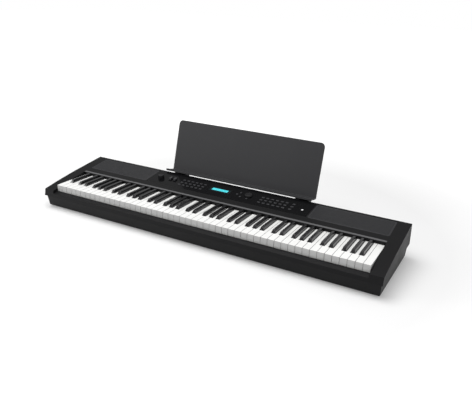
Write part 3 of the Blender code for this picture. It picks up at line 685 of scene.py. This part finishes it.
def add_rim(shape, centre, outer, field):
    """A closed rim from the outer half sizes to those of the holed field, which it overlaps."""
    out_u, out_v = (half - RIM_PLAY for half in outer)
    in_u, in_v = (half - FIELD_OVERLAP for half in field)
    top_u, top_v = out_u - RIM_ROUNDING, out_v - RIM_ROUNDING
    profile = (
        (out_u, out_v, RIM_CORNER, -RIM_DEPTH),
        (out_u, out_v, RIM_CORNER, 0.0),
        (top_u, top_v, RIM_CORNER - RIM_ROUNDING, SHEET_SINK),
        (in_u + CHAMFER, in_v + CHAMFER, CHAMFER_CORNER, SHEET_SINK),
        (in_u, in_v, FIELD_CORNER, FIELD_EDGE_LIFT),
        (in_u, in_v, FIELD_CORNER, -RIM_DEPTH),
    )
    rings = [rim_ring(shape, centre, *step) for step in profile]
    skin(shape, rings + rings[:1])


def make_grille(node):
    low, high = corners_of(node)
    centre = on_deck((low.x + high.x) / 2, (low.y + high.y) / 2, -SHEET_SINK)
    width = high.x - low.x
    depth = (high.y - low.y) / math.cos(SLOPE)
    columns = int((width - 2 * GRILLE_RIM) / HOLE_PITCH)
    rows = int((depth - 2 * GRILLE_RIM) / HOLE_PITCH)
    spots = []
    for i in range(columns):
        for j in range(rows):
            u = (i - (columns - 1) / 2) * HOLE_PITCH
            v = (j - (rows - 1) / 2) * HOLE_PITCH
            spots.append(centre + Vector((u, 0.0, 0.0)) + UP_DECK * v)
    sheet = scattered(f"{node}_sheet", holed_cell(), spots, LOOKS["grille_paint"], DECK_TURN)
    shape = bmesh.new()
    shape.from_mesh(sheet.data)
    bmesh.ops.remove_doubles(shape, verts=shape.verts, dist=SHEET_DOUBLES)
    field = (columns * HOLE_PITCH / 2, rows * HOLE_PITCH / 2)
    add_rim(shape, centre, (width / 2, depth / 2), field)
    for face in shape.faces:
        face.material_index = 0
    outward(shape).to_mesh(sheet.data)
    shape.free()
    sheet.data.materials.clear()
    sheet.data.materials.append(LOOKS["grille_paint"])
    settle(sheet, node, stands_for=[node])


# Knobs
KNOB_EDGE = 0.45 * MM
KNOB_SHARPER_THAN = 24
RIB_SIDES = 6
RIB_RADIUS = 0.55 * MM
RIB_TIP_RADIUS = 0.2 * MM
RIB_FOOT = 0.9 * MM
RIB_INSET = 0.975


def make_knob(node, ribs, depth):
    """The knob's own body with rounded edges, and small upright ribs round it for grip."""
    make_shell(node, KNOB_EDGE, KNOB, KNOB_SHARPER_THAN)
    low, high = corners_of(node)
    joints = frame["record"]["behaviour"]["joints"]
    centre = next(Vector(joint["pos_m"]) for joint in joints if joint["child"] == BODY_OF[node])
    reach = (high.x - low.x) / 2 * RIB_INSET
    rib = bmesh.new()
    profile = ((RIB_RADIUS, 0.0), (RIB_RADIUS, depth * 0.8), (RIB_TIP_RADIUS, depth * 0.9))
    rings = [circle(rib, RIB_SIDES, radius, height) for radius, height in profile]
    skin(rib, rings)
    cap_ends(rib, rings)
    spots = []
    for i in range(ribs):
        angle = 2 * math.pi * i / ribs
        spoke = Vector((math.cos(angle), 0.0, 0.0)) + UP_DECK * math.sin(angle)
        spots.append(centre + spoke * reach + OFF_DECK * RIB_FOOT)
    settle(scattered(f"{node}_ribs", outward(rib), spots, KNOB, DECK_TURN), node)


# Screws and collars
SCREW_RADIUS = 3.4 * MM
SCREW_SIDES = 16
SCREW_DOME = ((1.0, 0.0), (1.0, 0.35), (0.82, 0.62), (0.5, 0.72))
RECESS_ARMS = 4
RECESS_LONG = 0.42
RECESS_SHORT = 0.16
RECESS_LEVEL = 0.25
SCREW_COLUMNS = 7
SCREW_SPACING = 200 * MM
SCREW_FROM_FRONT = 22 * MM
SCREW_FROM_REAR = 18 * MM
SCREW_SINK = 0.2 * MM

JACK_X = (-110 * MM, -85 * MM, -60 * MM)
COLLAR_SIDES = 24
COLLAR_PROFILE = ((3.3, -0.2), (5.4, -0.2), (5.4, 1.1), (4.9, 1.6), (3.8, 1.6), (3.3, 1.1))


def screw_head():
    """A pan head with a recess of four arms, drawn in shares of its radius."""
    shape = bmesh.new()
    rings = []
    for share, rise in SCREW_DOME:
        rings.append(circle(shape, SCREW_SIDES, share * SCREW_RADIUS, rise * SCREW_RADIUS))
    recess = circle(shape, SCREW_SIDES, RECESS_SHORT * SCREW_RADIUS, RECESS_LEVEL * SCREW_RADIUS)
    for arm in recess[:: SCREW_SIDES // RECESS_ARMS]:
        arm.co.xy *= RECESS_LONG / RECESS_SHORT
    rings.append(recess)
    skin(shape, rings)
    cap_ends(shape, rings)
    return outward(shape)


def make_screws():
    low, high = corners_of("bottom_case")
    spots = []
    for i in range(SCREW_COLUMNS):
        x = (i - (SCREW_COLUMNS - 1) / 2) * SCREW_SPACING
        for y in (low.y + SCREW_FROM_FRONT, high.y - SCREW_FROM_REAR):
            spots.append(Vector((x, y, low.z + SCREW_SINK)))
    head_down = Matrix.Rotation(math.pi, 3, "X")
    screws = scattered("underside_screws", screw_head(), spots, NICKEL, head_down)
    settle(screws, "bottom_case")


def make_socket_collars():
    """Nickel collars round the round sockets at the back."""
    low, high = corners_of("rear_jack_block")
    spots = [Vector((x, high.y, (low.z + high.z) / 2)) for x in JACK_X]
    low, high = corners_of("power_inlet")
    spots.append(Vector(((low.x + high.x) / 2, high.y, (low.z + high.z) / 2)))
    shape = bmesh.new()
    rings = [circle(shape, COLLAR_SIDES, radius * MM, rise * MM) for radius, rise in COLLAR_PROFILE]
    skin(shape, rings + rings[:1])
    to_rear = Matrix.Rotation(-math.pi / 2, 3, "X")
    collars = scattered("socket_collars", outward(shape), spots, NICKEL, to_rear)
    settle(collars, "rear_jack_block")


# Floor, world and lamps
FLOOR_HALF = 12.0
FADE_START = 0.8
FADE_END = 2.2
WORLD_LEVEL = 0.40
GLOSS_LEVEL = 0.36


def make_floor():
    """A pale floor that takes the shadow and, for the camera, turns white farther out."""
    look = Finish("studio_floor", (0.62, 0.62, 0.62), 0.9, Specular_IOR_Level=0.0)
    cloud = look.cloud(0.7)
    look.mottle(cloud, 0.004)
    look.gloss(cloud, 0.88, 0.92)
    distance = look.node("ShaderNodeVectorMath", "Value", {"operation": "LENGTH"}, _0=look.spot())
    seen = look.node("ShaderNodeLightPath", "Is Camera Ray")
    fade = look.spread(distance, FADE_START, FADE_END, 0.0, 1.0) * seen
    look.set("Emission Color", look.blend(fade, (0.22, 0.22, 0.22), (1.0, 1.0, 1.0)))
    look.set("Emission Strength", 1.0)
    shape = bmesh.new()
    corners = ((-1, -1), (1, -1), (1, 1), (-1, 1))
    shape.faces.new([shape.verts.new((x * FLOOR_HALF, y * FLOOR_HALF, 0.0)) for x, y in corners])
    floor = as_object("studio_floor", shape)
    floor.data.materials.append(look.material)


def make_world():
    """Soft white light, a little weaker in reflections and full white for the camera."""
    world = bpy.data.worlds.new("studio")
    bpy.context.scene.world = world
    world.use_nodes = True
    tree = world.node_tree
    background = tree.nodes["Background"]
    background.inputs["Color"].default_value = (1.0, 1.0, 1.0, 1.0)
    rays = ("Is Camera Ray", "Is Transmission Ray", "Is Glossy Ray")
    seen, seen_through, mirrored = Palette(tree).node("ShaderNodeLightPath", rays)
    shown = (seen + seen_through).math("MINIMUM", 1.0)
    level = WORLD_LEVEL + shown * (1.0 - WORLD_LEVEL) + mirrored * (GLOSS_LEVEL - WORLD_LEVEL)
    tree.links.new(level.socket, background.inputs["Strength"])


def make_lamp(name, place, target, size, power):
    light = bpy.data.lights.new(name, "AREA")
    light.shape = "RECTANGLE"
    light.size, light.size_y = size
    light.energy = power
    made = bpy.data.objects.new(name, light)
    bpy.context.scene.collection.objects.link(made)
    made.location = place
    aim = Vector(target) - Vector(place)
    made.rotation_euler = aim.to_track_quat("-Z", "Y").to_euler()


def make_lamps():
    make_lamp("overhead_softbox", (-0.3, -0.4, 2.6), (0.0, 0.0, 0.0), (2.6, 2.0), 72.0)
    make_lamp("left_softbox", (-2.3, -1.9, 0.95), (-0.4, -0.1, 0.1), (1.1, 0.9), 24.0)
    make_lamp("right_fill", (2.6, -1.4, 1.2), (0.2, 0.0, 0.0), (1.4, 1.2), 14.0)


# The photograph's viewpoint
VIEW_BEARING = math.radians(28.59)
VIEW_TILT = math.radians(21.555)
VIEW_ROLL = math.radians(1.699)
VIEW_PLACE = Vector((937.87, -1594.02, 821.39)) * MM
VIEW_FOCAL_PIXELS = 552.5
PICTURE_WIDTH = 472
SENSOR_WIDTH = 36.0


def make_camera():
    bearing = Vector((-math.sin(VIEW_BEARING), math.cos(VIEW_BEARING), 0.0))
    ahead = bearing * math.cos(VIEW_TILT) - Vector((0.0, 0.0, math.sin(VIEW_TILT)))
    level_right = Vector((math.cos(VIEW_BEARING), math.sin(VIEW_BEARING), 0.0))
    level_up = level_right.cross(ahead)
    right = level_right * math.cos(VIEW_ROLL) + level_up * math.sin(VIEW_ROLL)
    up = level_up * math.cos(VIEW_ROLL) - level_right * math.sin(VIEW_ROLL)
    data = bpy.data.cameras.new("photo_view")
    data.sensor_fit = "HORIZONTAL"
    data.sensor_width = SENSOR_WIDTH
    data.lens = VIEW_FOCAL_PIXELS * SENSOR_WIDTH / PICTURE_WIDTH
    made = bpy.data.objects.new("photo_view", data)
    bpy.context.scene.collection.objects.link(made)
    axes = Matrix((right, up, -ahead)).transposed().to_4x4()
    made.matrix_world = Matrix.Translation(VIEW_PLACE) @ axes
    bpy.context.scene.camera = made


# Every CAD node gets its finish, then the pieces that stand for some of them are made
for node, part in frame["nodes"].items():
    part.data.materials.clear()
    part.data.materials.append(LOOKS[SLOT_OF[node]])
for node, width in EDGES.items():
    make_shell(node, width, LOOKS[SLOT_OF[node]])
make_grille("speaker_grille_left")
make_grille("speaker_grille_right")
make_knob("volume_knob", 30, 11 * MM)
make_knob("data_dial", 40, 4.6 * MM)
make_screws()
make_socket_collars()
make_floor()
make_world()
make_lamps()
make_camera()
bpy.context.scene.view_settings.view_transform = "Standard"
